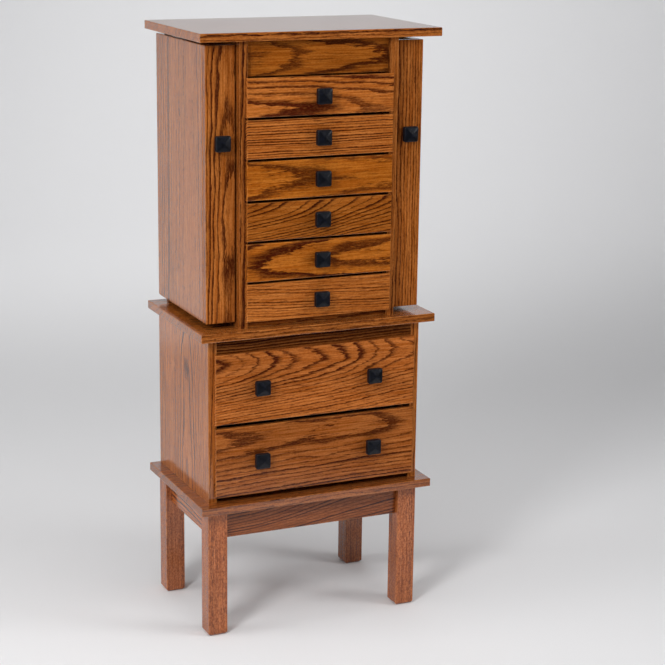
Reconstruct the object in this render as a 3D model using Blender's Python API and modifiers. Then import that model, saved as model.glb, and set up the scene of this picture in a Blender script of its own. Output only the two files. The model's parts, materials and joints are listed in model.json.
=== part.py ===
"""Jewelry armoire: a stand with four legs, a lower case with two wide drawers, and an
upper case with six small drawers between two swing-out side compartments, under a
flip-top lid with a mirror.

Metres, +Z up, front towards -Y, the origin on the floor below the middle of the piece.
"""

import math

import bmesh
import bpy
from mathutils import Matrix, Vector

# ---------------------------------------------------------------- driving dimensions

HEIGHT = 1.372            # floor to the top of the lid
BOARD = 0.019             # boards of the lid, the cases, the drawer fronts and the doors
THIN_BOARD = 0.012        # back panels
TOUCH = 0.0003            # gap left between two pieces that touch
CUT_PAST = 0.005          # how far a cut runs on past the piece it cuts
JOINED = 0.001            # overlap of two solids that are joined to one
SLIDE = 0.0005            # gap left beside a piece that slides

SLAB_WIDTH = 0.571        # lid, middle board and base board
SLAB_DEPTH = 0.362
BASE_TOP = 0.321
MIDDLE_TOP = 0.721

BODY_WIDTH = 0.519        # over the lower case and over the closed side doors
LEG = 0.046
LEGS_WIDTH = 0.522        # over the outer faces of the legs
APRON_DROP = 0.072        # height of an apron below the base board
APRON_SETBACK = 0.014     # apron face behind the leg face
FOOT_CHAMFER = 0.005

# setbacks behind the front edge of the slabs
LEG_SETBACK = 0.028
LOWER_SETBACK = 0.030
UPPER_SETBACK = 0.021
DOOR_SETBACK = 0.0405
LIP = 0.0095              # a drawer front stands this far in front of its case
FASCIA_RECESS = 0.0095    # the fascia lies this far behind the case's front edges

UPPER_WIDTH = 0.377       # over the sides of the upper case
BACK_INSET = 0.004        # back panels and doors in front of the slabs' rear edge

LOWER_DRAWERS = 2
LOWER_FACES = (0.334, 0.666)
LOWER_GAP = 0.009
UPPER_DRAWERS = 6
UPPER_FACES = (0.737, 1.2738)
UPPER_GAP = 0.0058
OVERLAY = 0.005           # a drawer front overlaps the case by this much

DRAWER_WALL = 0.010
DRAWER_FLOOR = 0.006
DRAWER_LENGTH = 0.285
RUNNER = 0.0042           # a runner strip stands this far out of the drawer's side
RUNNER_HEIGHT = 0.007

FASCIA_BOTTOM = 1.2755
TRAY_FLOOR = 0.008
TRAY_FLOOR_BOTTOM = 1.2765

DOOR_BOTTOM = 0.734
DOOR_TOP = 1.343
DOOR_FRONT_WIDTH = 0.068
DOOR_CORNER = 0.006       # rounding of the lower rear corner

KNOB = 0.035              # square face of a knob
KNOB_OUT = 0.025          # how far a knob stands out
LOWER_KNOB_OFFSET = 0.138
DOOR_KNOB_OFFSET = 0.225
DOOR_KNOB_HEIGHT = 1.134

LEAF = 0.0012             # thickness of a hinge leaf
KNUCKLE = 0.0025          # outer radius of a hinge knuckle
PIN = 0.0012              # radius of a hinge pin
PIN_PLAY = 0.0001
ROUND_SEGMENTS = 16       # sides of a knuckle and of a pin
KNUCKLES = 7
KNUCKLE_GAP = 0.0005
LEAF_START = 0.0035       # from the pin's axis to the plate of a leaf
LEAF_WIDTH = 0.0145
LID_LEAF_WIDTH = 0.0095
LID_HINGE = 0.360
DOOR_HINGE = (0.760, 1.317)

MIRROR = (0.290, 0.240, 0.004)
MIRROR_FRAME = 0.020      # width of the frame around the mirror
MIRROR_FRAME_DEPTH = 0.010
MIRROR_REBATE = 0.005

HOOKS = 7
HOOK_STRIP = (0.003, 0.240, 0.016)
HOOK_PITCH = 0.036
HOOK_RADIUS = 0.0018
HOOK_OUT = 0.016
HOOK_RISE = 0.009
HOOK_HEIGHT = 1.285

EASE = 0.0015             # eased edges of the boards

# ---------------------------------------------------------------- derived planes

KNOB_PAST_SLAB = TOUCH + KNOB_OUT - (UPPER_SETBACK - LIP)
PIN_OFFSET = TOUCH + KNUCKLE
KNUCKLE_PAST_SLAB = PIN_OFFSET + KNUCKLE - BACK_INSET
REAR = (SLAB_DEPTH + KNOB_PAST_SLAB + KNUCKLE_PAST_SLAB) / 2 - KNUCKLE_PAST_SLAB
FRONT = REAR - SLAB_DEPTH
BACK_REAR = REAR - BACK_INSET
BACK_FRONT = BACK_REAR - THIN_BOARD
PIN_Y = BACK_REAR + PIN_OFFSET

LID_BOTTOM = HEIGHT - BOARD
MIDDLE_BOTTOM = MIDDLE_TOP - BOARD
BASE_BOTTOM = BASE_TOP - BOARD

LOWER_FRONT = FRONT + LOWER_SETBACK
UPPER_FRONT = FRONT + UPPER_SETBACK
DOOR_FRONT = FRONT + DOOR_SETBACK
LOWER_INSIDE = BODY_WIDTH / 2 - BOARD
UPPER_INSIDE = UPPER_WIDTH / 2 - BOARD
SIDES_REAR = BACK_FRONT - TOUCH

DOOR_OUTSIDE = BODY_WIDTH / 2
DOOR_INSIDE = DOOR_OUTSIDE - BOARD
DOOR_PIN_X = DOOR_INSIDE
LID_PIN_Z = LID_BOTTOM - PIN_OFFSET


def face_heights(count, faces, gap):
    """The lowest and highest edge of each drawer face, from the bottom up."""
    bottom, top = faces
    height = (top - bottom - gap * (count - 1)) / count
    return [(bottom + i * (height + gap), bottom + i * (height + gap) + height) for i in range(count)]


LOWER_ROWS = face_heights(LOWER_DRAWERS, LOWER_FACES, LOWER_GAP)
UPPER_ROWS = face_heights(UPPER_DRAWERS, UPPER_FACES, UPPER_GAP)

# ---------------------------------------------------------------- scene and materials


def clear_scene():
    for obj in list(bpy.data.objects):
        bpy.data.objects.remove(obj)


def new_collection(name):
    collection = bpy.data.collections.new(name)
    bpy.context.scene.collection.children.link(collection)
    return collection


def new_material(name, colour, roughness, metallic=0.0):
    material = bpy.data.materials.new(name)
    material.use_nodes = True
    shader = material.node_tree.nodes["Principled BSDF"]
    shader.inputs["Base Color"].default_value = (*colour, 1.0)
    shader.inputs["Roughness"].default_value = roughness
    shader.inputs["Metallic"].default_value = metallic
    return material


clear_scene()
ARMOIRE = new_collection("jewelry_armoire")
CUTTERS = new_collection("cutters")

STAINED_OAK = new_material("stained_oak", (0.33, 0.11, 0.03), 0.38)
DRAWER_MAPLE = new_material("drawer_maple", (0.62, 0.42, 0.24), 0.5)
BLACK_IRON = new_material("black_iron", (0.012, 0.013, 0.018), 0.45, 0.6)
BRASS = new_material("brass", (0.62, 0.45, 0.2), 0.32, 1.0)
MIRROR_GLASS = new_material("mirror_glass", (0.9, 0.9, 0.9), 0.02, 1.0)

# ---------------------------------------------------------------- modelling helpers


def add_object(name, bm, material, collection=ARMOIRE):
    bmesh.ops.recalc_face_normals(bm, faces=bm.faces)
    mesh = bpy.data.meshes.new(name)
    bm.to_mesh(mesh)
    bm.free()
    mesh.materials.append(material)
    obj = bpy.data.objects.new(name, mesh)
    collection.objects.link(obj)
    return obj


def box_mesh(low, high):
    """A closed box between two corners."""
    low, high = Vector(low), Vector(high)
    bm = bmesh.new()
    bmesh.ops.create_cube(bm, size=1.0)
    bmesh.ops.scale(bm, vec=high - low, verts=bm.verts)
    bmesh.ops.translate(bm, vec=(low + high) / 2, verts=bm.verts)
    return bm


def ease_edges(obj):
    """Rounds all the edges of a board."""
    bevel = obj.modifiers.new("eased_edges", "BEVEL")
    bevel.width = EASE
    bevel.segments = 2
    bevel.limit_method = "ANGLE"


def bevel_where(bm, inside, width, segments):
    """Bevels the edges both of whose ends pass a test."""
    edges = [edge for edge in bm.edges if all(inside(vert.co) for vert in edge.verts)]
    bmesh.ops.bevel(bm, geom=edges, offset=width, segments=segments, affect="EDGES", profile=0.5)


def board(name, low, high, material=STAINED_OAK, eased=True):
    obj = add_object(name, box_mesh(low, high), material)
    if eased:
        ease_edges(obj)
    return obj


def cylinder_mesh(start, end, radius, segments):
    """A closed cylinder from one point to another."""
    start, end = Vector(start), Vector(end)
    along = end - start
    turn = Vector((0, 0, 1)).rotation_difference(along).to_matrix().to_4x4()
    bm = bmesh.new()
    bmesh.ops.create_cone(
        bm,
        cap_ends=True,
        segments=segments,
        radius1=radius,
        radius2=radius,
        depth=along.length,
        matrix=Matrix.Translation((start + end) / 2) @ turn,
    )
    return bm


def together(solids):
    """Several solids that don't touch, as one mesh."""
    whole = bmesh.new()
    for solid in solids:
        mesh = bpy.data.meshes.new("solid")
        solid.to_mesh(mesh)
        solid.free()
        whole.from_mesh(mesh)
        bpy.data.meshes.remove(mesh)
    return whole


def combine(name, material, body, added=(), cut=()):
    """Joins solids to a body and cuts others from it, and keeps the result as one plain mesh."""
    obj = add_object(name, body, material)
    helpers = []
    for operation, solids in (("UNION", added), ("DIFFERENCE", cut)):
        for solid in solids:
            helper = add_object(name + "_helper", solid, material, CUTTERS)
            modifier = obj.modifiers.new(operation.lower(), "BOOLEAN")
            modifier.operation = operation
            modifier.object = helper
            modifier.solver = "EXACT"
            helpers.append(helper)
    graph = bpy.context.evaluated_depsgraph_get()
    mesh = bpy.data.meshes.new_from_object(obj.evaluated_get(graph))
    obj.modifiers.clear()
    obj.data = mesh
    for helper in helpers:
        bpy.data.objects.remove(helper)
    return obj


def smooth(obj, angle=math.radians(35)):
    obj.data.shade_smooth()
    obj.data.set_sharp_from_angle(angle=angle)


def mirrored(side, x_near, x_far):
    """The lowest and highest x of a piece that lies from x_near out to x_far on one side."""
    return (x_near, x_far) if side > 0 else (-x_far, -x_near)


SIDES = (("left", -1), ("right", 1))

# ---------------------------------------------------------------- stand


def leg(name, x_low, y_low):
    """A square leg whose foot has chamfered edges."""
    bm = box_mesh((x_low, y_low, 0), (x_low + LEG, y_low + LEG, BASE_BOTTOM - TOUCH))
    bevel_where(bm, lambda co: co.z < FOOT_CHAMFER, FOOT_CHAMFER, 1)
    ease_edges(add_object(name, bm, STAINED_OAK))


def make_stand():
    half = LEGS_WIDTH / 2
    leg_front = FRONT + LEG_SETBACK
    leg_rear = REAR - TOUCH
    for side_name, side in SIDES:
        x_low, x_high = mirrored(side, half - LEG, half)
        leg("leg_front_" + side_name, x_low, leg_front)
        leg("leg_rear_" + side_name, x_low, leg_rear - LEG)
        x_low, x_high = mirrored(side, half - APRON_SETBACK - BOARD, half - APRON_SETBACK)
        board(
            "apron_" + side_name,
            (x_low, leg_front + LEG + TOUCH, BASE_BOTTOM - APRON_DROP),
            (x_high, leg_rear - LEG - TOUCH, BASE_BOTTOM - TOUCH),
        )
    apron_end = half - LEG - TOUCH
    for name, y_low in (
        ("apron_front", leg_front + APRON_SETBACK),
        ("apron_rear", leg_rear - APRON_SETBACK - BOARD),
    ):
        board(
            name,
            (-apron_end, y_low, BASE_BOTTOM - APRON_DROP),
            (apron_end, y_low + BOARD, BASE_BOTTOM - TOUCH),
        )


def make_slab(name, top):
    """One of the three boards that stand out past the cases."""
    half = SLAB_WIDTH / 2
    return board(name, (-half, FRONT, top - BOARD), (half, REAR, top))


# ---------------------------------------------------------------- cases


def groove_height(row):
    return (row[0] + row[1]) / 2


def grooved_side(name, side, inside, front, low, high, rows):
    """A case side with a groove along its inner face for the runner of each drawer."""
    x_low, x_high = mirrored(side, inside, inside + BOARD)
    groove_low, groove_high = mirrored(side, inside - CUT_PAST, inside + RUNNER)
    half = RUNNER_HEIGHT / 2 + SLIDE
    grooves = []
    for row in rows:
        middle = groove_height(row)
        grooves.append(
            box_mesh(
                (groove_low, front - CUT_PAST, middle - half),
                (groove_high, SIDES_REAR + CUT_PAST, middle + half),
            )
        )
    body = box_mesh((x_low, front, low), (x_high, SIDES_REAR, high))
    combine(name, STAINED_OAK, body, cut=grooves)


def make_lower_case():
    low, high = BASE_TOP + TOUCH, MIDDLE_BOTTOM - TOUCH
    for side_name, side in SIDES:
        grooved_side("lower_side_" + side_name, side, LOWER_INSIDE, LOWER_FRONT, low, high, LOWER_ROWS)
    half = LOWER_INSIDE - TOUCH
    board(
        "lower_back",
        (-BODY_WIDTH / 2, BACK_FRONT, low),
        (BODY_WIDTH / 2, BACK_REAR, high),
        eased=False,
    )
    board(
        "lower_top_rail",
        (-half, LOWER_FRONT, LOWER_FACES[1] - OVERLAY),
        (half, LOWER_FRONT + BOARD, high),
        eased=False,
    )


def make_upper_case():
    low, high = MIDDLE_TOP + TOUCH, LID_BOTTOM - TOUCH
    for side_name, side in SIDES:
        grooved_side("upper_side_" + side_name, side, UPPER_INSIDE, UPPER_FRONT, low, high, UPPER_ROWS)
    half = UPPER_INSIDE - TOUCH
    back_half = DOOR_INSIDE - SLIDE
    leaf_room = LEAF + TOUCH
    board(
        "upper_back",
        (-back_half, BACK_FRONT, low),
        (back_half, BACK_REAR, high - leaf_room),
        eased=False,
    )
    fascia_front = UPPER_FRONT + FASCIA_RECESS
    board("fascia_panel", (-half, fascia_front, FASCIA_BOTTOM), (half, fascia_front + BOARD, high))
    board(
        "ring_tray_floor",
        (-half, fascia_front + BOARD + TOUCH, TRAY_FLOOR_BOTTOM),
        (half, SIDES_REAR, TRAY_FLOOR_BOTTOM + TRAY_FLOOR),
        eased=False,
    )
    board(
        "upper_bottom_rail",
        (-half, fascia_front, low),
        (half, fascia_front + BOARD, UPPER_FACES[0] + OVERLAY),
        eased=False,
    )


# ---------------------------------------------------------------- drawers


def lipped_front_mesh(inside, case_front, row):
    """A drawer front: a lip in front of the case and a thinner block that fits between its sides."""
    half = inside + OVERLAY
    low = (-half, case_front - LIP, row[0])
    high = (half, case_front - TOUCH, row[1])
    bm = box_mesh(low, high)
    bevel_where(bm, lambda co: co.y < low[1] + TOUCH, EASE, 2)
    rear = [face for face in bm.faces if face.calc_center_median().y > case_front - 2 * TOUCH]
    bmesh.ops.inset_region(bm, faces=rear, thickness=OVERLAY + SLIDE, use_even_offset=True)
    grown = bmesh.ops.extrude_face_region(bm, geom=rear)
    bmesh.ops.delete(bm, geom=rear, context="FACES_ONLY")
    moved = [item for item in grown["geom"] if isinstance(item, bmesh.types.BMVert)]
    bmesh.ops.translate(bm, vec=(0, BOARD - LIP + TOUCH, 0), verts=moved)
    return bm


def tray_mesh(low, high):
    """An open box: a block whose top face is inset by the wall and pushed down to the floor."""
    bm = box_mesh(low, high)
    top = [face for face in bm.faces if face.calc_center_median().z > high[2] - TOUCH]
    bmesh.ops.inset_region(bm, faces=top, thickness=DRAWER_WALL, use_even_offset=True)
    grown = bmesh.ops.extrude_face_region(bm, geom=top)
    bmesh.ops.delete(bm, geom=top, context="FACES_ONLY")
    moved = [item for item in grown["geom"] if isinstance(item, bmesh.types.BMVert)]
    bmesh.ops.translate(bm, vec=(0, 0, low[2] + DRAWER_FLOOR - high[2]), verts=moved)
    return bm


def box_corners(inside, case_front, row):
    """The drawer box behind a front, as wide as the case leaves room for."""
    half = inside - 2 * SLIDE
    front = case_front + BOARD - LIP
    clear = OVERLAY + 2 * SLIDE
    return (-half, front, row[0] + clear), (half, front + DRAWER_LENGTH, row[1] - clear)


def runner_meshes(low, high, row):
    """The two strips beside a drawer box that ride in the grooves of the case."""
    middle = groove_height(row)
    strips = []
    for side in (-1, 1):
        x_low, x_high = mirrored(side, high[0] - JOINED, high[0] + RUNNER)
        strips.append(
            box_mesh(
                (x_low, low[1] + JOINED, middle - RUNNER_HEIGHT / 2),
                (x_high, high[1] - JOINED, middle + RUNNER_HEIGHT / 2),
            )
        )
    return strips


def knob(name, x, y, z):
    """A square pyramid knob on a square stem, standing out towards -Y."""
    half = KNOB / 2
    sections = (
        (0.0, 0.30 * KNOB),
        (0.10 * KNOB_OUT, 0.26 * KNOB),
        (0.26 * KNOB_OUT, 0.26 * KNOB),
        (0.34 * KNOB_OUT, 0.94 * half),
        (0.40 * KNOB_OUT, half),
        (0.78 * KNOB_OUT, half),
        (0.84 * KNOB_OUT, 0.86 * half),
        (KNOB_OUT, 0.10 * half),
    )
    bm = bmesh.new()
    bmesh.ops.create_circle(bm, cap_ends=True, segments=4, radius=math.sqrt(2) * sections[0][1])
    bmesh.ops.rotate(bm, cent=(0, 0, 0), matrix=Matrix.Rotation(math.radians(45), 3, "Z"), verts=bm.verts)
    cap = list(bm.faces)
    for (out, width), (last_out, last_width) in zip(sections[1:], sections):
        grown = bmesh.ops.extrude_face_region(bm, geom=cap)
        if cap[0].calc_center_median().z > 0:
            bmesh.ops.delete(bm, geom=cap, context="FACES_ONLY")
        verts = [item for item in grown["geom"] if isinstance(item, bmesh.types.BMVert)]
        cap = [item for item in grown["geom"] if isinstance(item, bmesh.types.BMFace)]
        bmesh.ops.translate(bm, vec=(0, 0, out - last_out), verts=verts)
        bmesh.ops.scale(bm, vec=(width / last_width, width / last_width, 1), verts=verts)
    bmesh.ops.rotate(bm, cent=(0, 0, 0), matrix=Matrix.Rotation(math.radians(90), 3, "X"), verts=bm.verts)
    obj = add_object(name, bm, BLACK_IRON)
    obj.location = (x, y - TOUCH, z)
    ease = obj.modifiers.new("worn_edges", "BEVEL")
    ease.width = 0.0008
    ease.segments = 1
    ease.limit_method = "ANGLE"
    return obj


def make_small_drawers():
    for number, row in enumerate(reversed(UPPER_ROWS), start=1):
        low, high = box_corners(UPPER_INSIDE, UPPER_FRONT, row)
        name = "small_drawer_%d" % number
        tray = tray_mesh((low[0], low[1] - JOINED, low[2]), high)
        added = [tray] + runner_meshes(low, high, row)
        combine(name, STAINED_OAK, lipped_front_mesh(UPPER_INSIDE, UPPER_FRONT, row), added=added)
        knob(name + "_knob", 0.0, UPPER_FRONT - LIP, groove_height(row))


def make_large_drawers():
    for letter, row in zip(("top", "bottom"), reversed(LOWER_ROWS)):
        name = "large_drawer_%s" % letter
        add_object(name + "_front", lipped_front_mesh(LOWER_INSIDE, LOWER_FRONT, row), STAINED_OAK)
        low, high = box_corners(LOWER_INSIDE, LOWER_FRONT, row)
        low = (low[0], low[1] + TOUCH, low[2])
        combine(name + "_box", DRAWER_MAPLE, tray_mesh(low, high), added=runner_meshes(low, high, row))
        for side_name, side in SIDES:
            knob(
                "%s_knob_%s" % (name, side_name),
                side * LOWER_KNOB_OFFSET,
                LOWER_FRONT - LIP,
                groove_height(row),
            )


# ---------------------------------------------------------------- hinges


def hinge_leaf(name, start, end, way, width, plate_near, plate_far, own):
    """One leaf of a long hinge: a plate, and every second knuckle around the pin.

    start and end are the ends of the pin's axis, way is the direction from the axis to the
    plate, plate_near and plate_far are the plate's two faces as distances from the axis along
    the third direction, and own says which knuckles are this leaf's.
    """
    start, end, way = Vector(start), Vector(end), Vector(way)
    along = (end - start).normalized()
    third = along.cross(way)
    if third.x + third.y + third.z < 0:
        third = -third
    length = (end - start).length
    pitch = length / KNUCKLES

    def plate(length_from, length_to, width_from, width_to):
        one = start + along * length_from + way * width_from + third * plate_near
        other = start + along * length_to + way * width_to + third * plate_far
        return box_mesh([min(pair) for pair in zip(one, other)], [max(pair) for pair in zip(one, other)])

    body = plate(0, length, LEAF_START, LEAF_START + width)
    knuckles = []
    bridges = []
    for index in range(own, KNUCKLES, 2):
        low = index * pitch + KNUCKLE_GAP / 2
        high = (index + 1) * pitch - KNUCKLE_GAP / 2
        knuckles.append(cylinder_mesh(start + along * low, start + along * high, KNUCKLE, ROUND_SEGMENTS))
        bridges.append(plate(low, high, 0, LEAF_START + width / 3))
    past = along * CUT_PAST
    bore = cylinder_mesh(start - past, end + past, PIN + PIN_PLAY, ROUND_SEGMENTS)
    added = [together(bridges), together(knuckles)]
    smooth(combine(name, BRASS, body, added=added, cut=[bore]))


def hinge_pin(name, start, end):
    smooth(add_object(name, cylinder_mesh(start, end, PIN, ROUND_SEGMENTS), BRASS))


def make_lid_hinge():
    """The hinge along the rear edge of the lid, one leaf on the back panel and one under the lid."""
    start = (-LID_HINGE / 2, PIN_Y, LID_PIN_Z)
    end = (LID_HINGE / 2, PIN_Y, LID_PIN_Z)
    width = LID_LEAF_WIDTH
    hinge_leaf("lid_hinge_fixed_leaf", start, end, (0, 0, -1), width, -KNUCKLE, LEAF - KNUCKLE, 0)
    hinge_leaf("lid_hinge_moving_leaf", start, end, (0, -1, 0), width, KNUCKLE - LEAF, KNUCKLE, 1)
    hinge_pin("lid_hinge_pin", start, end)


def make_door_hinge(side_name, side):
    """The upright hinge at the rear of a side compartment, both leaves on the rear face."""
    start = (side * DOOR_PIN_X, PIN_Y, DOOR_HINGE[0])
    end = (side * DOOR_PIN_X, PIN_Y, DOOR_HINGE[1])
    name = "door_%s_hinge" % side_name
    for leaf_name, way, own in (("_fixed_leaf", -side, 0), ("_moving_leaf", side, 1)):
        hinge_leaf(name + leaf_name, start, end, (way, 0, 0), LEAF_WIDTH, -KNUCKLE, LEAF - KNUCKLE, own)
    hinge_pin(name + "_pin", start, end)


# ---------------------------------------------------------------- lid and doors


def make_lid():
    make_slab("top_lid", HEIGHT)
    width, depth, thickness = MIRROR
    tray_front = UPPER_FRONT + FASCIA_RECESS + BOARD
    middle = (tray_front + BACK_FRONT) / 2
    under = LID_BOTTOM - TOUCH
    frame_low = under - MIRROR_FRAME_DEPTH
    outer = (width / 2 + MIRROR_FRAME, depth / 2 + MIRROR_FRAME)
    body = box_mesh((-outer[0], middle - outer[1], frame_low), (outer[0], middle + outer[1], under))
    sight = (width / 2 - MIRROR_REBATE, depth / 2 - MIRROR_REBATE)
    through = box_mesh(
        (-sight[0], middle - sight[1], frame_low - CUT_PAST),
        (sight[0], middle + sight[1], under + CUT_PAST),
    )
    seat = thickness + TOUCH
    rebate = box_mesh(
        (-width / 2 - SLIDE, middle - depth / 2 - SLIDE, under - seat),
        (width / 2 + SLIDE, middle + depth / 2 + SLIDE, under + CUT_PAST),
    )
    combine("mirror_frame", STAINED_OAK, body, cut=[through, rebate])
    board(
        "lid_mirror",
        (-width / 2, middle - depth / 2, under - thickness),
        (width / 2, middle + depth / 2, under),
        material=MIRROR_GLASS,
        eased=False,
    )


def door_side(side_name, side):
    """The deep outer panel of a side compartment, with its lower rear corner rounded."""
    x_low, x_high = mirrored(side, DOOR_INSIDE, DOOR_OUTSIDE)
    bm = box_mesh((x_low, DOOR_FRONT + BOARD + TOUCH, DOOR_BOTTOM), (x_high, BACK_REAR, DOOR_TOP))
    bevel_where(bm, lambda co: co.y > BACK_REAR - TOUCH and co.z < DOOR_BOTTOM + TOUCH, DOOR_CORNER, 4)
    ease_edges(add_object("door_%s_side" % side_name, bm, STAINED_OAK))


def hook_mesh(root, tip, side):
    """A round peg with an upturned end."""
    bm = cylinder_mesh(root, tip, HOOK_RADIUS, 8)
    end = [face for face in bm.faces if abs(face.calc_center_median().x - tip.x) < HOOK_RADIUS / 2]
    for vert in end[0].verts:
        vert.co.x += side * (vert.co.z - tip.z)
    grown = bmesh.ops.extrude_face_region(bm, geom=end)
    bmesh.ops.delete(bm, geom=end, context="FACES_ONLY")
    for item in grown["geom"]:
        if isinstance(item, bmesh.types.BMVert):
            item.co.z = tip.z + HOOK_RISE
    return bm


def hook_strip(side_name, side):
    """A brass strip with a row of upturned pegs for necklaces, on the inner face of a door."""
    thickness, length, height = HOOK_STRIP
    face = DOOR_INSIDE - TOUCH
    middle = (DOOR_FRONT + BOARD + BACK_FRONT) / 2
    x_low, x_high = mirrored(side, face - thickness, face)
    body = box_mesh(
        (x_low, middle - length / 2, HOOK_HEIGHT - height / 2),
        (x_high, middle + length / 2, HOOK_HEIGHT + height / 2),
    )
    hooks = []
    for index in range(HOOKS):
        y = middle + (index - (HOOKS - 1) / 2) * HOOK_PITCH
        root = Vector((side * (face - thickness / 2), y, HOOK_HEIGHT))
        tip = Vector((side * (face - thickness - HOOK_OUT), y, HOOK_HEIGHT))
        hooks.append(hook_mesh(root, tip, side))
    smooth(combine("door_%s_hooks" % side_name, BRASS, body, added=[together(hooks)]))


def make_doors():
    for side_name, side in SIDES:
        door_side(side_name, side)
        x_low, x_high = mirrored(side, DOOR_OUTSIDE - DOOR_FRONT_WIDTH, DOOR_OUTSIDE)
        board(
            "door_%s_front" % side_name,
            (x_low, DOOR_FRONT, DOOR_BOTTOM),
            (x_high, DOOR_FRONT + BOARD, DOOR_TOP),
        )
        hook_strip(side_name, side)
        knob("door_%s_knob" % side_name, side * DOOR_KNOB_OFFSET, DOOR_FRONT, DOOR_KNOB_HEIGHT)
        make_door_hinge(side_name, side)


# ---------------------------------------------------------------- the whole piece


make_stand()
make_slab("base_board", BASE_TOP)
make_lower_case()
make_slab("middle_board", MIDDLE_TOP)
make_upper_case()
make_small_drawers()
make_large_drawers()
make_lid()
make_lid_hinge()
make_doors()
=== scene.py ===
import json
import math

import bmesh
import bpy
from mathutils import Matrix, Vector, noise

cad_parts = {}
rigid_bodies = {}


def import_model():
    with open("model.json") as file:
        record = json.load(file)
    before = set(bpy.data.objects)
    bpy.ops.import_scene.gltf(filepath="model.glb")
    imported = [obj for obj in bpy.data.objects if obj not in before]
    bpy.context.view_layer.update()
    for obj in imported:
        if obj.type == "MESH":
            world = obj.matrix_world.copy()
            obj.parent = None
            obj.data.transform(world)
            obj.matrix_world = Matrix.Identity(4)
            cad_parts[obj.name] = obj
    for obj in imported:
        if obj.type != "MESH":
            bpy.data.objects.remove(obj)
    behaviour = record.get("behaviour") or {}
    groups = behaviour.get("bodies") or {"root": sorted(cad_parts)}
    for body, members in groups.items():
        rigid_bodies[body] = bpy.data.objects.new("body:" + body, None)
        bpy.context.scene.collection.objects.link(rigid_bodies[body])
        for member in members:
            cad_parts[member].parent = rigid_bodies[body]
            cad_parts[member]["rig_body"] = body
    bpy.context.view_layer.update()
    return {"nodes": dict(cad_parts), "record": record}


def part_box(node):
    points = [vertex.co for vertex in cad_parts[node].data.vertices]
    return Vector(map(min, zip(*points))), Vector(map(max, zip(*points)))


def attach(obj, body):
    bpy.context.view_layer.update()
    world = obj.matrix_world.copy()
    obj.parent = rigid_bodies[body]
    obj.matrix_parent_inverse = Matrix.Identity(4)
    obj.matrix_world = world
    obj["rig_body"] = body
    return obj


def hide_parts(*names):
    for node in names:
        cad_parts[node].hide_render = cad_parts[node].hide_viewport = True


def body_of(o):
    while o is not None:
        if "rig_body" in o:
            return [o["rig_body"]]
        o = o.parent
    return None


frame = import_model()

# ---------------------------------------------------------------- camera

PICTURE = 665.0                       # width and height of the picture
SENSOR = 36.0                         # millimetres
FOCAL_IN_PICTURE_UNITS = 1836.4       # focal length, where the picture is PICTURE wide
CAMERA_AT = Vector((-1.6301, -3.8116, 1.7210))
YAW, PITCH, ROLL = (math.radians(a) for a in (24.5, -14.339, 0.746))


def add_camera():
    """A level camera turned by YAW, tipped by PITCH and then rolled a little about its own view line."""
    data = bpy.data.cameras.new("camera")
    data.sensor_width = SENSOR
    data.lens = SENSOR * FOCAL_IN_PICTURE_UNITS / PICTURE
    data.clip_start, data.clip_end = 0.1, 60.0
    camera = bpy.data.objects.new("camera", data)
    bpy.context.scene.collection.objects.link(camera)
    ahead = Vector((math.sin(YAW) * math.cos(PITCH), math.cos(YAW) * math.cos(PITCH), math.sin(PITCH)))
    level = Vector((math.cos(YAW), -math.sin(YAW), 0.0))
    up = level.cross(ahead)
    right = math.cos(ROLL) * level + math.sin(ROLL) * up
    top = -math.sin(ROLL) * level + math.cos(ROLL) * up
    turn = Matrix((right, top, -ahead)).transposed().to_4x4()
    camera.matrix_world = Matrix.Translation(CAMERA_AT) @ turn
    bpy.context.scene.camera = camera


# ---------------------------------------------------------------- node helpers


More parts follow.
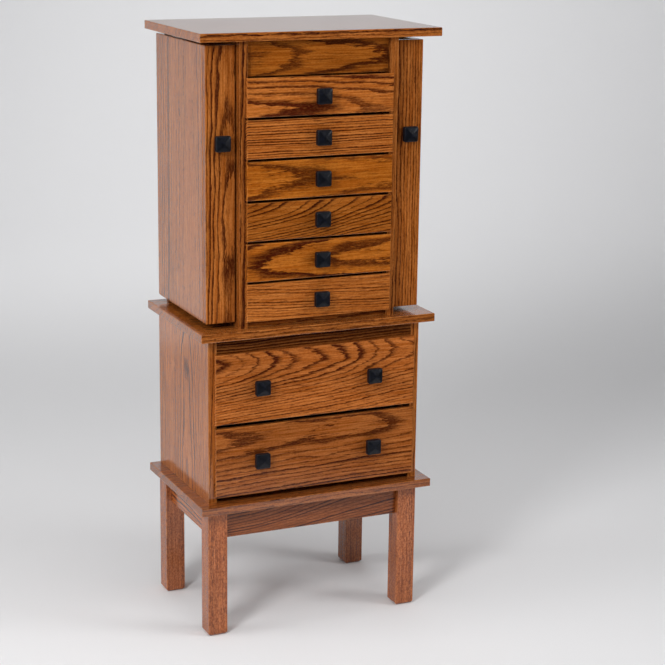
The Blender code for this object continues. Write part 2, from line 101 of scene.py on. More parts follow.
class Tree:
    """Short calls for building a node tree."""

    def __init__(self, tree):
        self.tree = tree
        self.nodes = tree.nodes
        self.links = tree.links

    def add(self, kind, **settings):
        node = self.nodes.new(kind)
        for key, value in settings.items():
            setattr(node, key, value)
        return node

    def put(self, value, socket):
        """Links a socket or sets a number, vector or colour."""
        if isinstance(value, bpy.types.NodeSocket):
            self.links.new(value, socket)
        elif value is not None:
            socket.default_value = value

    def math(self, operation, a, b=None):
        node = self.add("ShaderNodeMath", operation=operation)
        for index, value in enumerate((a, b)):
            self.put(value, node.inputs[index])
        return node.outputs[0]

    def vector(self, operation, a, b=None, scale=None):
        node = self.add("ShaderNodeVectorMath", operation=operation)
        self.put(a, node.inputs[0])
        self.put(b, node.inputs[1])
        if scale is not None:
            self.put(scale, node.inputs["Scale"])
        return node.outputs[0]

    def split(self, vector):
        node = self.add("ShaderNodeSeparateXYZ")
        self.put(vector, node.inputs[0])
        return node.outputs

    def join(self, x, y, z):
        node = self.add("ShaderNodeCombineXYZ")
        for index, value in enumerate((x, y, z)):
            self.put(value, node.inputs[index])
        return node.outputs[0]

    def noise(self, vector, scale, detail=2.0, roughness=0.5, kind="Fac", distortion=0.0):
        node = self.add("ShaderNodeTexNoise", noise_dimensions="3D")
        self.put(vector, node.inputs["Vector"])
        self.put(scale, node.inputs["Scale"])
        self.put(detail, node.inputs["Detail"])
        self.put(roughness, node.inputs["Roughness"])
        self.put(distortion, node.inputs["Distortion"])
        return node.outputs[kind]

    def voronoi(self, vector, scale, feature="F1"):
        node = self.add("ShaderNodeTexVoronoi", feature=feature)
        self.put(vector, node.inputs["Vector"])
        self.put(scale, node.inputs["Scale"])
        return node.outputs["Distance"]

    def ramp(self, value, stops):
        """A colour ramp from (position, colour) pairs."""
        node = self.add("ShaderNodeValToRGB")
        while len(node.color_ramp.elements) < len(stops):
            node.color_ramp.elements.new(0.5)
        for element, (position, colour) in zip(node.color_ramp.elements, stops):
            element.position = position
            element.color = (*colour, 1.0)
        self.put(value, node.inputs[0])
        return node.outputs[0]

    def curve(self, value, low, high, new_low=0.0, new_high=1.0, smooth=True):
        """Spreads low..high over new_low..new_high and holds the ends, with soft shoulders if smooth."""
        node = self.add("ShaderNodeMapRange")
        node.interpolation_type = "SMOOTHSTEP" if smooth else "LINEAR"
        node.clamp = True
        for key, item in zip(("Value", "From Min", "From Max", "To Min", "To Max"),
                             (value, low, high, new_low, new_high)):
            self.put(item, node.inputs[key])
        return node.outputs[0]

    def mix(self, factor, a, b):
        node = self.add("ShaderNodeMix", data_type="RGBA")
        self.put(factor, node.inputs[0])
        for value, socket in ((a, node.inputs[6]), (b, node.inputs[7])):
            if hasattr(value, "__len__") and not isinstance(value, bpy.types.NodeSocket):
                value = (*value[:3], 1.0)
            self.put(value, socket)
        return node.outputs[2]

    def bump(self, height, strength, distance):
        node = self.add("ShaderNodeBump")
        self.put(height, node.inputs["Height"])
        node.inputs["Strength"].default_value = strength
        node.inputs["Distance"].default_value = distance
        return node.outputs[0]


def new_material(name, **uniform):
    """A material with its shader's uniform sockets set, and the Tree to build the rest with."""
    material = bpy.data.materials.new(name)
    material.use_nodes = True
    shader = material.node_tree.nodes["Principled BSDF"]
    for key, value in uniform.items():
        shader.inputs[key.replace("_", " ")].default_value = value
    return material, Tree(material.node_tree), shader


def srgb(red, green, blue):
    """Display values 0-255 as linear colour."""
    def linear(value):
        value /= 255.0
        return value / 12.92 if value <= 0.04045 else ((value + 0.055) / 1.055) ** 2.4
    return tuple(linear(value) for value in (red, green, blue))


def object_point(tree):
    """The point in metres, which moves with the piece."""
    return tree.add("ShaderNodeTexCoord").outputs["Object"]


# ---------------------------------------------------------------- stained oak

WHITE = (1.0, 1.0, 1.0)
LATEWOOD = srgb(170, 89, 26)
LATEWOOD_PALE = srgb(197, 119, 54)
EARLYWOOD = srgb(76, 23, 7)
PORE = srgb(46, 15, 4)
# pale oak of the ray flecks and of the rubbed edges, where it is also a painted highlight
PALE_OAK = srgb(204, 132, 66)
AMBER_TINT = (1.06, 1.0, 0.5)         # boards that took the stain more yellow
RED_TINT = (0.95, 0.82, 1.25)         # boards that took it more red
EDGE_WEAR_AND_HIGHLIGHT = 0.0016                    # how far in from an edge the stain is rubbed, a painted highlight band too
EARLYWOOD_RISE = 0.10                 # share of a ring over which the earlywood begins


def oak_group():
    """Ring-porous wood in a board's own space: x across the face, y out of it, z along the grain.

    Rings are cylinders round a pith line beside the board. The line leans and wanders, which makes
    the arches and flames on a flat-sawn face, and an edge or an end cut shows the same rings.
    """
    group = bpy.data.node_groups.new("oak_wood", "ShaderNodeTree")
    face = group.interface
    face.new_socket("Point", in_out="INPUT", socket_type="NodeSocketVector")
    for name, value in (
        ("Pith X", 0.0), ("Pith Y", 0.08), ("Lean X", 0.0), ("Lean Y", 0.02), ("Ring", 0.003),
        ("Wander", 0.006), ("Flame", 1.0), ("Dark", 0.4), ("Shade", 1.0), ("Red", 0.0), ("Seed", 0.0),
        ("Half X", 1.0), ("Half Y", 1.0), ("Half Z", 1.0), ("Ray", 0.0), ("Amber", 0.0),
    ):
        socket = face.new_socket(name, in_out="INPUT", socket_type="NodeSocketFloat")
        socket.default_value = value
    face.new_socket("Color", in_out="OUTPUT", socket_type="NodeSocketColor")
    face.new_socket("Roughness", in_out="OUTPUT", socket_type="NodeSocketFloat")
    face.new_socket("Height", in_out="OUTPUT", socket_type="NodeSocketFloat")
    t = Tree(group)
    given = t.add("NodeGroupInput").outputs
    out = t.add("NodeGroupOutput").inputs

    seed = t.join(t.math("MULTIPLY", given["Seed"], 1.37), t.math("MULTIPLY", given["Seed"], 2.11),
                  t.math("MULTIPLY", given["Seed"], 3.73))
    point = given["Point"]
    x, y, z = t.split(point)

    def stretched(across, along, detail, roughness=0.55, output="Fac"):
        """Noise in fibres: so many per metre across the grain and along it."""
        at = t.vector("ADD", t.vector("MULTIPLY", point, (across, across, along)), seed)
        return t.noise(at, 1.0, detail, roughness, kind=output)

    def centred(value):
        return t.math("SUBTRACT", value, 0.5)

    # the pith's distance, with a slow wander along the grain
    wander = t.vector("SUBTRACT", stretched(6.0, 3.4, 1.5, 0.5, "Color"), (0.5, 0.5, 0.5))
    wx, wy, _ = t.split(t.vector("SCALE", wander, scale=t.math("MULTIPLY", given["Wander"], 2.0)))
    across = t.math("SUBTRACT", t.math("ADD", x, wx),
                    t.math("ADD", given["Pith X"], t.math("MULTIPLY", z, given["Lean X"])))
    deep = t.math("SUBTRACT", t.math("ADD", y, wy),
                  t.math("ADD", given["Pith Y"], t.math("MULTIPLY", z, given["Lean Y"])))
    squares = t.math("ADD", t.math("MULTIPLY", across, across), t.math("MULTIPLY", deep, deep))
    radius = t.math("SQRT", squares)
    rings = t.math("DIVIDE", radius, given["Ring"])

    # ragged ring borders, from slow tongues down to single fibres
    tongues = t.math("MULTIPLY", centred(stretched(60.0, 9.0, 1.5)), 0.75)
    ragged = t.math("MULTIPLY", centred(stretched(230.0, 24.0, 2.0)), 0.55)
    fibres = t.math("MULTIPLY", centred(stretched(800.0, 60.0, 2.0)), 0.55)
    torn = t.math("ADD", t.math("ADD", tongues, ragged), fibres)
    torn_rings = t.math("ADD", rings, t.math("MULTIPLY", torn, given["Flame"]))
    phase = t.math("FRACT", torn_rings)
    year = t.math("FLOOR", torn_rings)
    year_place = t.math("ADD", t.math("MULTIPLY", year, 0.731), given["Seed"])
    year_noise = t.noise(t.join(year_place, 0.3, 0.7), 3.1, 0.0)

    # earlywood begins sharply and fades into the dense latewood; some years are wider than others
    width = t.math("ADD", given["Dark"], t.math("MULTIPLY", centred(year_noise), 0.8))
    start = t.curve(phase, 0.0, EARLYWOOD_RISE)
    fade = t.curve(phase, t.math("MULTIPLY", width, 0.45), t.math("MULTIPLY", width, 1.5), 1.0, 0.0)
    strength = t.curve(year_noise, 0.25, 0.7, 0.55, 1.0)
    early = t.math("MULTIPLY", t.math("MULTIPLY", start, fade), strength)

    # pores: short dark dashes, thick in the earlywood and thin elsewhere
    pore = stretched(1700.0, 130.0, 1.0)
    thick_pores = t.math("MULTIPLY", t.curve(pore, 0.46, 0.60), early)
    thin_pores = t.math("MULTIPLY", t.math("MULTIPLY", t.curve(pore, 0.58, 0.72), 0.5),
                        t.math("SUBTRACT", 1.0, early))
    pores = t.math("ADD", thick_pores, thin_pores)
    streak = stretched(300.0, 10.0, 3.0, 0.62)
    cloud = stretched(16.0, 4.0, 2.0, 0.5)
    fleck = t.curve(stretched(330.0, 42.0, 2.0, 0.6), 0.54, 0.72)

    # the colours, from the latewood up to the pores
    late = t.mix(t.curve(streak, 0.3, 0.7), LATEWOOD, LATEWOOD_PALE)
    late = t.vector("MULTIPLY", late, t.mix(given["Amber"], WHITE, AMBER_TINT))
    late = t.mix(t.math("MULTIPLY", fleck, 0.5), late, EARLYWOOD)
    colour = t.mix(early, late, EARLYWOOD)
    rays = t.curve(stretched(330.0, 190.0, 1.5), 0.40, 0.62)
    colour = t.mix(t.math("MULTIPLY", given["Ray"], t.math("SUBTRACT", 1.0, rays)), colour, EARLYWOOD)
    colour = t.mix(t.math("MULTIPLY", given["Ray"], t.math("MULTIPLY", rays, 0.5)), colour, PALE_OAK)
    colour = t.mix(t.math("MULTIPLY", pores, 0.7), colour, PORE)
    tone = t.math("MULTIPLY", t.curve(cloud, 0.25, 0.75, 0.84, 1.14, smooth=False), given["Shade"])
    tone = t.math("MULTIPLY", tone, t.curve(streak, 0.2, 0.8, 0.84, 1.14, smooth=False))
    colour = t.vector("SCALE", colour, scale=tone)
    colour = t.vector("MULTIPLY", colour, t.mix(given["Red"], WHITE, RED_TINT))

    # stain rubbed thin along the edges, where two faces of the board are near; also a painted highlight
    inside = [t.math("SUBTRACT", given["Half " + axis], t.math("ABSOLUTE", value))
              for axis, value in zip("XYZ", (x, y, z))]
    corners = [t.math("MAXIMUM", inside[one], inside[other])
               for one, other in ((0, 1), (1, 2), (0, 2))]
    edge = t.math("MINIMUM", t.math("MINIMUM", corners[0], corners[1]), corners[2])
    edge_jitter = t.math("MULTIPLY", centred(stretched(90.0, 70.0, 2.0)), EDGE_WEAR_AND_HIGHLIGHT * 3.0)
    # the paler edge band is partly stain wear and partly a painted highlight on rounded edges
    worn_and_highlit_edge = t.curve(t.math("ADD", edge, edge_jitter), 0.0, EDGE_WEAR_AND_HIGHLIGHT, 0.5, 0.0)
    colour = t.mix(worn_and_highlit_edge, colour, PALE_OAK)
    t.put(colour, out["Color"])

    # the finish is duller over open grain and where it is worn; pores and earlywood lie a little low
    dull = t.curve(early, 0.0, 1.0, 0.28, 0.44, smooth=False)
    dull = t.math("ADD", dull, t.math("MULTIPLY", pores, 0.15))
    t.put(t.math("ADD", dull, t.math("MULTIPLY", worn_and_highlit_edge, 0.3)), out["Roughness"])
    sunk = t.math("ADD", pores, t.math("MULTIPLY", early, 0.35))
    t.put(t.math("SUBTRACT", t.math("MULTIPLY", streak, 0.15), sunk), out["Height"])
    return group


OAK = oak_group()


def oak(name, low, high, grain, face, pith=(0.0, 0.10), lean=(0.0, 0.015), ring=0.003, wander=0.006,
        flame=1.0, dark=0.4, shade=1.0, red=0.0, amber=0.0, ray=0.14, coat=1.7, seed=0.0):
    """Stained oak for one board between two corners.

    grain and face are the axes, 0 to 2, that the fibres run along and that the show face looks along.
    pith is where the tree's middle is, across the face and behind it, and lean is how far it drifts for
    each metre along the grain. ring is the width of a year and dark the share of it that is earlywood.
    ray is the strength of the small ray flecks, and coat the refractive index of the clear finish.
    """
    material, t, shader = new_material("oak_" + name, Coat_Weight=1.0, Coat_Roughness=0.16, Coat_IOR=coat,
                                       Specular_IOR_Level=0.0)
    across = 3 - grain - face
    at = t.vector("SUBTRACT", object_point(t), tuple((low + high) / 2))
    half = (high - low) / 2
    parts = t.split(at)
    board = t.join(parts[across], parts[face], parts[grain])
    wood = t.add("ShaderNodeGroup")
    wood.node_tree = OAK
    t.put(board, wood.inputs["Point"])
    for key, value in (
        ("Pith X", pith[0]), ("Pith Y", pith[1]), ("Lean X", lean[0]), ("Lean Y", lean[1]),
        ("Ring", ring), ("Wander", wander), ("Flame", flame), ("Dark", dark), ("Shade", shade),
        ("Red", red), ("Amber", amber), ("Ray", ray), ("Seed", seed),
        ("Half X", half[across]), ("Half Y", half[face]), ("Half Z", half[grain]),
    ):
        wood.inputs[key].default_value = value
    t.put(wood.outputs["Color"], shader.inputs["Base Color"])
    t.put(wood.outputs["Roughness"], shader.inputs["Roughness"])
    t.put(t.bump(wood.outputs["Height"], 0.35, 0.0002), shader.inputs["Normal"])
    return material


# ---------------------------------------------------------------- pieces

X, Y, Z = 0, 1, 2
X_AXIS, Y_AXIS, Z_AXIS = Matrix.Identity(3)
nodes = frame["nodes"]


def give(obj, material):
    """The whole object takes one material."""
    obj.data.materials.clear()
    obj.data.materials.append(material)
    for polygon in obj.data.polygons:
        polygon.material_index = 0


def smooth_object(name, bm, material):
    """An object in the scene from a finished bmesh, shaded smooth."""
    mesh = bpy.data.meshes.new(name)
    bm.to_mesh(mesh)
    bm.free()
    mesh.shade_smooth()
    mesh.materials.append(material)
    obj = bpy.data.objects.new(name, mesh)
    bpy.context.scene.collection.objects.link(obj)
    return obj


def add_piece(name, bm, material, body):
    """A piece that rides on a body, with its faces turned outwards."""
    bmesh.ops.recalc_face_normals(bm, faces=bm.faces)
    piece = smooth_object(name, bm, material)
    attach(piece, body)
    return piece


def skin_loops(bm, loops):
    """Closes a body over loops of equally many points, with a face at each end."""
    for here, there in zip(loops, loops[1:]):
        for step in range(len(here)):
            following = (step + 1) % len(here)
            bm.faces.new((here[step], there[step], there[following], here[following]))
    bm.faces.new(loops[0])
    bm.faces.new(loops[-1])


# ---------------------------------------------------------------- boards and drawer fronts

FRONT_THICK = 0.019                   # drawer fronts, as all the boards
JUST_PAST = 0.0005                    # a face this far behind the front belongs to the drawer's box
# refractive index of the clear finish, higher where it shines more
FRONT_COAT = 1.45
LEG_COAT = 1.55
POLISHED_COAT = 2.3
FACING_UP = 0.9                       # least upward part of an upper face's normal


def panel_oak(node, grain, face, corners=None, **wood):
    """Oak for a CAD board, fitted to its box or to the corners given."""
    low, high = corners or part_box(node)
    give(nodes[node], oak(node, low, high, grain, face, **wood))


def front_oak(node, grain, corners=None, **wood):
    """Oak for a board of the front, which is rubbed to a lower gloss than the rest."""
    panel_oak(node, grain, Y, corners, coat=FRONT_COAT, **wood)


def polish_top_with_painted_shade(node, polish_with_painted_shade):
    """The upper face takes a heavier finish than the rest of the board, on oak darkened as painted shade.
    """
    board = nodes[node].data
    board.materials.append(polish_with_painted_shade)
    for polygon in board.polygons:
        if polygon.normal.z > FACING_UP:
            polygon.material_index = 1


def dress_slabs():
    """The three overhanging slabs: quiet wood, sawn far from the pith."""
    slab = dict(pith=(0.30, 0.26), lean=(0.004, 0.002), ring=0.0046, flame=1.5, ray=0.2)
    panel_oak("top_lid", X, Z, shade=0.93, seed=11.0, **slab)
    panel_oak("middle_board", X, Z, shade=0.86, seed=12.0, **slab)
    panel_oak("base_board", X, Z, shade=0.76, red=0.35, seed=13.0, **slab)
    low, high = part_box("top_lid")
    # the upper face's oak at about half the board's shade: painted shade under the heavier finish
    polish_with_painted_shade = oak("polished_top_painted_shade", low, high, X, Z, shade=0.5, coat=POLISHED_COAT, seed=11.0, **slab)
    polish_top_with_painted_shade("top_lid", polish_with_painted_shade)


def dress_side(side, sign):
    """The boards and legs of one side; sign is -1 on the left and 1 on the right."""
    panel_oak("lower_side_" + side, Z, X, pith=(0.02 * sign, -0.10 * sign), lean=(0.0, 0.03), ring=0.0055,
              flame=0.7, dark=0.24, shade=0.95, seed=20.0 + sign)
    panel_oak("door_%s_side" % side, Z, X, pith=(-0.06, -0.14 * sign), lean=(0.0, 0.012), ring=0.0085,
              flame=0.8, dark=0.16, shade=0.8, seed=24.0 + sign)
    panel_oak("upper_side_" + side, Z, X, pith=(0.08, -0.10 * sign), ring=0.005, shade=0.85,
              seed=27.0 + sign)
    panel_oak("apron_" + side, Y, X, pith=(0.02, -0.06 * sign), ring=0.005, red=0.5, seed=30.0 + sign)
    leg = dict(pith=(0.12, 0.12), lean=(0.0, 0.0), ring=0.0024, flame=1.8, dark=0.15, red=0.7, ray=0.38,
               coat=LEG_COAT)
    panel_oak("leg_front_" + side, Z, Y, seed=38.0 + sign, **leg)
    # the rear right leg's oak is much darker: painted shade for its place in shadow
    panel_oak("leg_rear_" + side, Z, Y, shade=0.78 - 0.14 * sign, seed=33.0 + sign, **leg)


def dress_boards():
    """Each board is its own cut of the tree, so each has its own pith, rings, shade and seed."""
    dress_slabs()
    for side, sign in (("left", -1), ("right", 1)):
        dress_side(side, sign)
    front_oak("door_left_front", Z, pith=(0.02, 0.06), lean=(0.0, 0.006), ring=0.0048, wander=0.010,
              dark=0.36, shade=0.95, seed=311.5)
    front_oak("door_right_front", Z, pith=(-0.06, 0.06), lean=(0.0, 0.004), ring=0.0048, flame=0.9,
              wander=0.008, dark=0.36, shade=0.9, seed=319.2)
    front_oak("apron_front", X, pith=(0.08, 0.06), lean=(0.04, 0.10), ring=0.0055, wander=0.014,
              flame=0.35, dark=0.3, red=0.7, shade=0.62, seed=45.0)
    front_oak("fascia_panel", X, pith=(0.0, 0.09), lean=(0.0, 0.035), ring=0.008, wander=0.010, dark=0.38,
              shade=0.82, amber=0.9, seed=213.8)
    # the rail's oak is darkened to half: painted shadow of the middle board above it
    front_oak("lower_top_rail", X, pith=(0.10, 0.08), ring=0.005, dark=0.6, shade=0.5, seed=48.0)
    front_oak("upper_bottom_rail", X, pith=(0.03, 0.10), ring=0.005, seed=49.0)
    panel_oak("apron_rear", X, Y, pith=(0.03, 0.10), ring=0.0055, red=0.7, shade=0.85, seed=46.0)
    panel_oak("lower_back", Z, Y, pith=(0.1, 0.3), ring=0.006, seed=50.0)
    panel_oak("upper_back", Z, Y, pith=(0.05, 0.3), ring=0.006, seed=51.0)
    panel_oak("ring_tray_floor", X, Z, pith=(0.05, 0.12), ring=0.005, seed=52.0)
    panel_oak("mirror_frame", X, Z, pith=(0.05, 0.10), ring=0.005, seed=53.0)


# from the top drawer down
SMALL_FRONTS = (
    dict(pith=(-0.03, 0.07), lean=(0.0, 0.03), ring=0.007, wander=0.008, dark=0.36, shade=1.04, seed=241.5),
    dict(pith=(0.16, 0.10), lean=(0.0, 0.01), ring=0.0048, wander=0.006, flame=0.8, dark=0.33, shade=1.03,
         seed=103.4),
    dict(pith=(0.0, 0.09), lean=(0.0, 0.035), ring=0.009, wander=0.010, dark=0.38, shade=0.95, amber=1.0,
         seed=209.2),
    dict(pith=(0.05, 0.08), lean=(0.0, 0.12), ring=0.0042, wander=0.010, flame=0.6, dark=0.3, shade=0.78,
         amber=0.6, seed=269.2),
    dict(pith=(0.0, 0.09), lean=(0.0, -0.035), ring=0.008, wander=0.010, dark=0.38, shade=0.95, amber=0.9,
         seed=206.9),
    dict(pith=(0.12, 0.12), lean=(-0.06, 0.0), ring=0.0045, wander=0.006, flame=0.8, dark=0.28, seed=161.0),
)


def dress_drawers(maple):
    """A small drawer is one solid, so its front takes the oak and what lies behind it the maple."""
    for number, wood in enumerate(SMALL_FRONTS, start=1):
        name = "small_drawer_%d" % number
        low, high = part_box(name)
        front_rear = low.y + FRONT_THICK
        high.y = front_rear
        front_oak(name, X, (low, high), **wood)
        drawer = nodes[name].data
        drawer.materials.append(maple)
        for polygon in drawer.polygons:
            if polygon.center.y > front_rear + JUST_PAST:
                polygon.material_index = 1
    front_oak("large_drawer_top_front", X, pith=(0.055, 0.08), lean=(0.0, 0.10), ring=0.005,
              wander=0.008, dark=0.28, red=0.2, shade=1.04, seed=286.9)
    front_oak("large_drawer_bottom_front", X, pith=(0.05, 0.10), lean=(0.0, 0.02), ring=0.0062,
              wander=0.009, dark=0.36, red=0.2, shade=0.8, seed=301.5)


# ---------------------------------------------------------------- knobs, hinges, hooks and mirror


def iron_material():
    """Cast iron under flat black paint: round hammer dents, a fine grain, and greyer in patches."""
    material, t, shader = new_material("hammered_black", Specular_IOR_Level=0.28)
    at = object_point(t)
    dents = t.voronoi(at, 330.0, "SMOOTH_F1")
    fine = t.noise(at, 900.0, 3.0, 0.6)
    wear = t.noise(at, 140.0, 3.0, 0.6)
    colour = t.mix(t.curve(wear, 0.35, 0.75), srgb(6, 8, 15), srgb(15, 18, 31))
    t.put(colour, shader.inputs["Base Color"])
    t.put(t.curve(fine, 0.2, 0.8, 0.30, 0.5, smooth=False), shader.inputs["Roughness"])
    height = t.math("ADD", dents, t.math("MULTIPLY", fine, 0.25))
    t.put(t.bump(height, 0.6, 0.0006), shader.inputs["Normal"])
    return material


def brass_material():
    """Satin brass with a brushed grain and a little cloudy tarnish."""
    material, t, shader = new_material("satin_brass", Metallic=1.0)
    at = object_point(t)
    brushed = t.noise(t.vector("MULTIPLY", at, (900.0, 900.0, 60.0)), 1.0, 2.0, 0.6)
    tarnish = t.noise(at, 240.0, 4.0, 0.65)
    colour = t.mix(t.curve(tarnish, 0.35, 0.8), srgb(196, 166, 118), srgb(158, 126, 82))
    t.put(colour, shader.inputs["Base Color"])
    t.put(t.math("ADD", 0.28, t.math("MULTIPLY", tarnish, 0.12)), shader.inputs["Roughness"])
    t.put(t.bump(brushed, 0.15, 0.0001), shader.inputs["Normal"])
    return material


def mirror_material():
    """Silvered glass with a faint haze. It is a little less than fully metallic, so that it doesn't read
    as a hole where it faces the dark end of the studio."""
    material, t, shader = new_material("mirror_glass", Metallic=0.8)
    at = object_point(t)
    haze = t.noise(at, 40.0, 3.0, 0.6)
    colour = t.mix(t.curve(haze, 0.4, 0.9), (0.93, 0.94, 0.94), (0.86, 0.88, 0.88))
    t.put(colour, shader.inputs["Base Color"])
    t.put(t.curve(haze, 0.3, 0.9, 0.01, 0.04, smooth=False), shader.inputs["Roughness"])
    return material


def maple_material():
    """Pale drawer-box wood under a clear sealer."""
    material, t, shader = new_material("drawer_maple", IOR=1.45)
    at = object_point(t)
    grain = t.noise(t.vector("MULTIPLY", at, (90.0, 10.0, 420.0)), 1.0, 4.0, 0.6)
    figure = t.noise(t.vector("MULTIPLY", at, (9.0, 5.0, 30.0)), 1.0, 2.0, 0.5)
    shades = ((0.25, srgb(176, 132, 84)), (0.5, srgb(206, 168, 118)), (0.8, srgb(222, 188, 140)))
    colour = t.ramp(grain, shades)
    colour = t.mix(t.curve(figure, 0.3, 0.8, 0.0, 0.35), colour, srgb(170, 120, 76))
    t.put(colour, shader.inputs["Base Color"])
    t.put(t.curve(grain, 0.2, 0.8, 0.42, 0.58, smooth=False), shader.inputs["Roughness"])
    t.put(t.bump(grain, 0.2, 0.0002), shader.inputs["Normal"])
    return material


KNOB_AROUND = 64                      # points round a knob
KNOB_SQUARENESS = 12.0                # 2 would make it round
KNOB_DENT = 0.00018                   # depth of the hammer marks
KNOB_DENTS_PER_METRE = 260.0
KNOB_FACE_FROM = 0.8                  # the pyramid face starts at this share of the height
# a knob from its foot outwards: share of its height, share of its half width
KNOB_PROFILE = (
    (0.0, 0.60), (0.03, 0.60), (0.07, 0.54), (0.11, 0.52), (0.20, 0.52), (0.245, 0.56), (0.275, 0.70),
    (0.30, 0.88), (0.325, 0.955), (0.36, 0.985), (0.41, 0.997), (0.50, 1.0), (0.60, 1.0), (0.70, 0.997),
    (0.755, 0.98), (0.79, 0.94), (0.82, 0.87), (0.855, 0.74), (0.89, 0.60), (0.925, 0.45), (0.955, 0.30),
    (0.98, 0.16), (0.993, 0.06),
)


def cast_knob(node, iron):
    """A hammered cast knob on its square stem, with soft corners and a shallow pyramid face."""
    low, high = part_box(node)
    half = (high.x - low.x) / 2
    tall = high.y - low.y
    foot = Vector(((low.x + high.x) / 2, high.y, (low.z + high.z) / 2))
    bm = bmesh.new()
    loops = []
    for out, wide in KNOB_PROFILE:
        loop = []
        for step in range(KNOB_AROUND):
            angle = 2 * math.pi * (step + 0.5) / KNOB_AROUND
            c, s = math.cos(angle), math.sin(angle)
            reach = (abs(c) ** KNOB_SQUARENESS + abs(s) ** KNOB_SQUARENESS) ** (-1 / KNOB_SQUARENESS)
            at = Vector((half * wide * reach * c, -tall * out, half * wide * reach * s))
            hammer = noise.noise((at + foot) * KNOB_DENTS_PER_METRE) * KNOB_DENT - KNOB_DENT
            at.x *= 1 + hammer / half
            at.z *= 1 + hammer / half
            if out > KNOB_FACE_FROM:
                at.y -= hammer
            loop.append(bm.verts.new(foot + at))
        loops.append(loop)
    skin_loops(bm, loops)
    knob = add_piece("cast_" + node, bm, iron, body_of(nodes[node])[0])
    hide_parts(node)


def dress_hardware(maple, brass):
    """Iron knobs, brass hinges and hooks, the wide drawers' boxes and the mirror."""
    iron = iron_material()
    for name, node in list(nodes.items()):
        if name.endswith("knob") or "_knob_" in name:
            cast_knob(name, iron)
        elif "hinge" in name or name.endswith("hooks"):
            give(node, brass)
        elif name.endswith("_box"):
            give(node, maple)
    give(nodes["lid_mirror"], mirror_material())


# ---------------------------------------------------------------- felt and ring rolls

OPENINGS = {opening["name"]: opening["box_m"] for opening in frame["record"]["physics"]["openings"]}
OPENING_CLEAR = 0.001                 # the openings stand this far off the wood
FELT_THICK = 0.0014
FELT_GAP = 0.0002                     # glue under the felt
FELT_STEPS = 26                       # grid steps along each side of a sheet
FELT_WAVES_PER_METRE = 34.0
WALL_MARGIN = 0.01                    # bare wood above and below the felt of a necklace space
ROLL_COUNT = 16
ROLL_HEIGHT = 0.019
ROLL_GAP = 0.0002                     # from a roll to the edge of its place
ROLL_STATIONS = 44                    # loops along a roll
ROLL_AROUND = 20                      # points round a roll
ROLL_TOP_POWER = 0.9                  # section of a roll: 1 is round, less is squarer
ROLL_BOTTOM_POWER = 0.35
ROLL_TUCK_POWER = 24                  # higher keeps the tuck nearer to the ends
ROLL_PUFF = 0.04                      # unevenness of the foam, as a share of its thickness


def felt_material():
    """Pressed wool: fine tangled fibres, a soft nap and cloudy colour."""
    material, t, shader = new_material("wool_felt", Sheen_Weight=0.15, Sheen_Roughness=0.5,
                                       Specular_IOR_Level=0.1)
    at = object_point(t)
    tangle = t.noise(at, 1400.0, 4.0, 0.7, distortion=1.5)
    strands = t.voronoi(t.vector("MULTIPLY", at, (700.0, 1100.0, 900.0)), 1.0)
    cloud = t.noise(at, 22.0, 3.0, 0.6)
    colour = t.mix(t.curve(tangle, 0.3, 0.7), srgb(22, 38, 30), srgb(48, 68, 54))
    colour = t.mix(t.curve(cloud, 0.3, 0.75, 0.0, 0.5), colour, srgb(30, 46, 38))
    t.put(colour, shader.inputs["Base Color"])
    t.put(t.curve(tangle, 0.2, 0.8, 0.82, 0.98, smooth=False), shader.inputs["Roughness"])
    height = t.math("ADD", tangle, t.math("MULTIPLY", strands, 0.5))
    t.put(t.bump(height, 0.5, 0.0004), shader.inputs["Normal"])
    return material


def velvet_material():
    """Short pile, painted lighter where the nap is brushed one way: a painted sheen."""
    material, t, shader = new_material("velvet", Sheen_Weight=0.35, Sheen_Roughness=0.35,
                                       Specular_IOR_Level=0.1)
    at = object_point(t)
    pile = t.noise(at, 2200.0, 2.0, 0.6)
    brushed = t.noise(t.vector("MULTIPLY", at, (18.0, 60.0, 60.0)), 1.0, 3.0, 0.6)
    # lighter where the nap is brushed one way: painted sheen
    colour = t.mix(t.curve(brushed, 0.3, 0.75), srgb(26, 47, 37), srgb(38, 62, 49))
    colour = t.mix(t.curve(pile, 0.4, 0.8, 0.0, 0.5), colour, srgb(14, 26, 20))
    t.put(colour, shader.inputs["Base Color"])
    t.put(t.curve(brushed, 0.2, 0.8, 0.75, 0.95, smooth=False), shader.inputs["Roughness"])
    t.put(t.bump(t.math("ADD", pile, brushed), 0.35, 0.0003), shader.inputs["Normal"])
    return material


def felt_piece(name, corner, width, length, material, body):
    """A sheet of felt from one corner along its width and length vectors. Its face is slightly uneven
    and its cut edges are a little lower, as felt laid by hand is."""
    out = width.cross(length).normalized()
    bm = bmesh.new()
    bmesh.ops.create_grid(bm, x_segments=FELT_STEPS, y_segments=FELT_STEPS, size=0.5)
    placed = Matrix((width, length, out)).transposed()
    middle = corner + (width + length) / 2 + out * FELT_GAP
    under = list(bm.verts)
    for vert in under:
        vert.co = middle + placed @ vert.co
    grown = bmesh.ops.extrude_face_region(bm, geom=bm.faces[:], use_keep_orig=True)
    for vert in (item for item in grown["geom"] if isinstance(item, bmesh.types.BMVert)):
        uneven = noise.noise(vert.co * FELT_WAVES_PER_METRE) * 0.15
        pressed = 0.3 if vert.is_boundary else 0.0
        vert.co += out * FELT_THICK * (0.85 + uneven - pressed)
    piece = add_piece(name, bm, material, body)


def line_floor(opening, body, felt):
    """Felt over the floor of a drawer or a tray."""
    low, high = (Vector(corner) for corner in OPENINGS[opening])
    low.z -= OPENING_CLEAR
    felt_piece("felt_" + opening, low, X_AXIS * (high.x - low.x), Y_AXIS * (high.y - low.y), felt, body)


